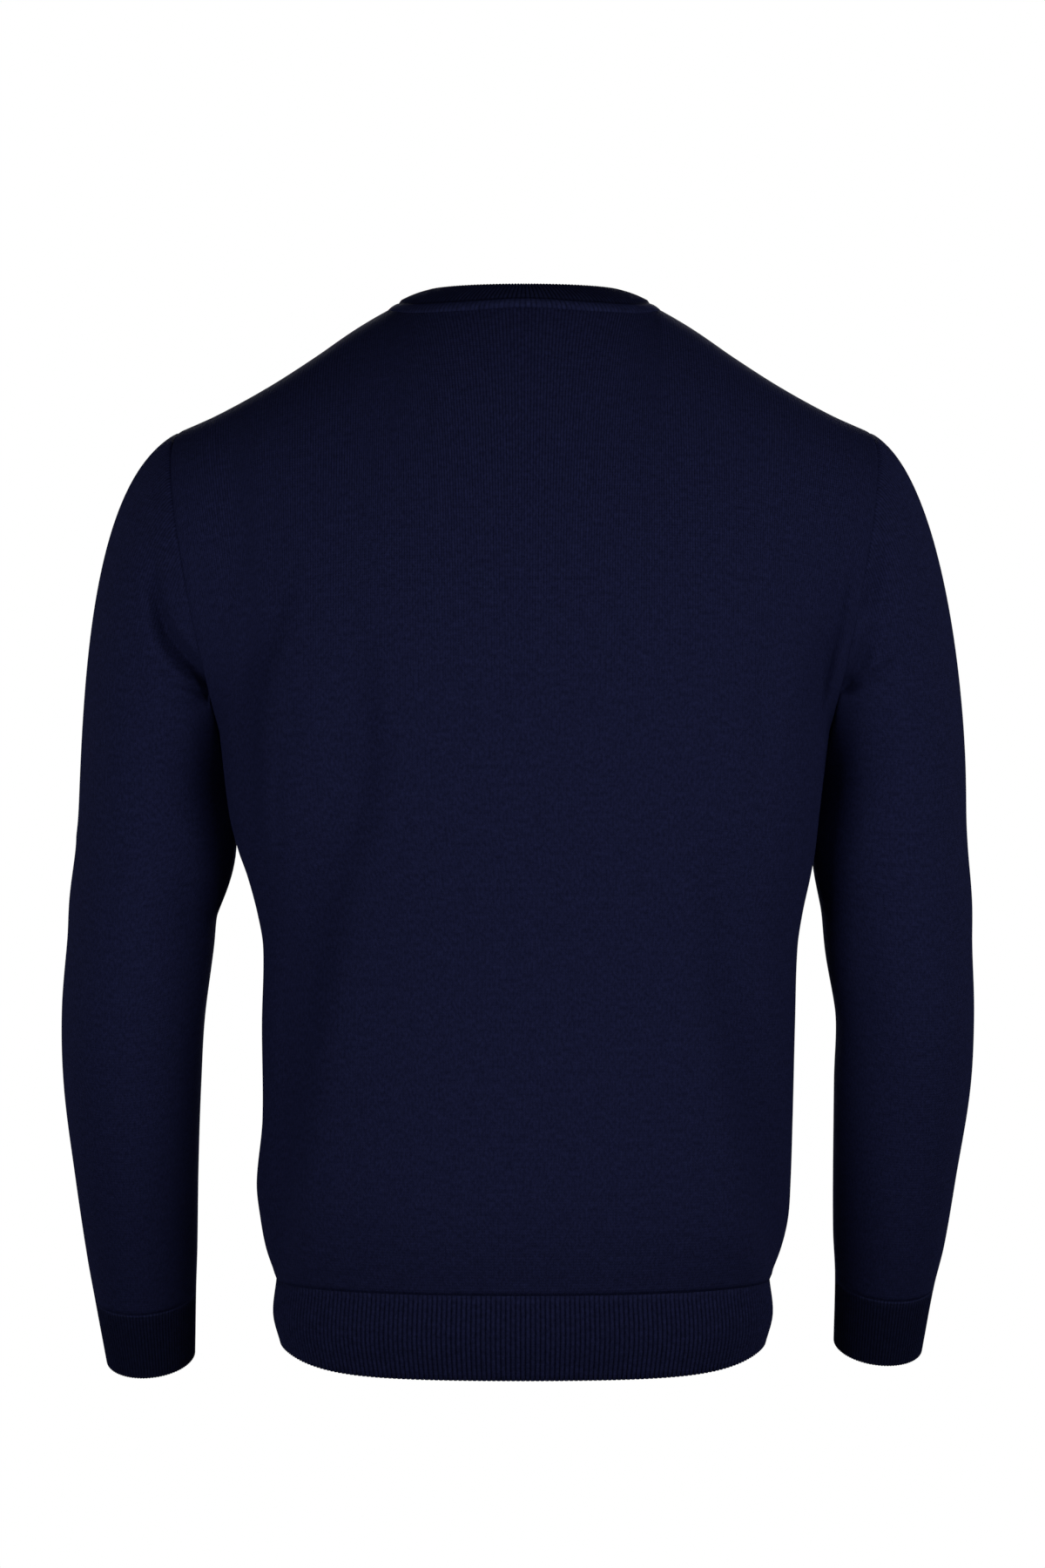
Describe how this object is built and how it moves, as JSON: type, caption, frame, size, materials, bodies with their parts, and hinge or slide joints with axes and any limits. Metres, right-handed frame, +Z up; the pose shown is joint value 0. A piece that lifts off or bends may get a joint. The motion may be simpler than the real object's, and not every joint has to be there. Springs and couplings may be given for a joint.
{
  "type": "long-sleeved crew-neck knitted sweater",
  "caption": "Fine-gauge knitted sweater in its worn, hollow form, with long set-in sleeves, a round ribbed neckband, and ribbed cuffs and hem.",
  "frame": {"origin": "mid-point between the two points where the shoulder seams meet the neckband, on the centre plane; the wearer holds it up there", "axes": "+Z up, -Y to the garment's front, +X to the wearer's left"},
  "size_m": [0.5805, 0.2354, 0.6918],
  "materials": {
    "navy_knit": "matt plain-knit cashmere with a short nap",
    "navy_rib": "matt ribbed cashmere with a short nap"
  },
  "bodies": {
    "root": {"back": "navy_knit", "front": "navy_knit", "left_sleeve": "navy_knit", "right_sleeve": "navy_knit", "back_hem_rib": "navy_rib", "front_hem_rib": "navy_rib", "left_cuff": "navy_rib", "right_cuff": "navy_rib", "neckband": "navy_rib"}
  },
  "joints": []
}
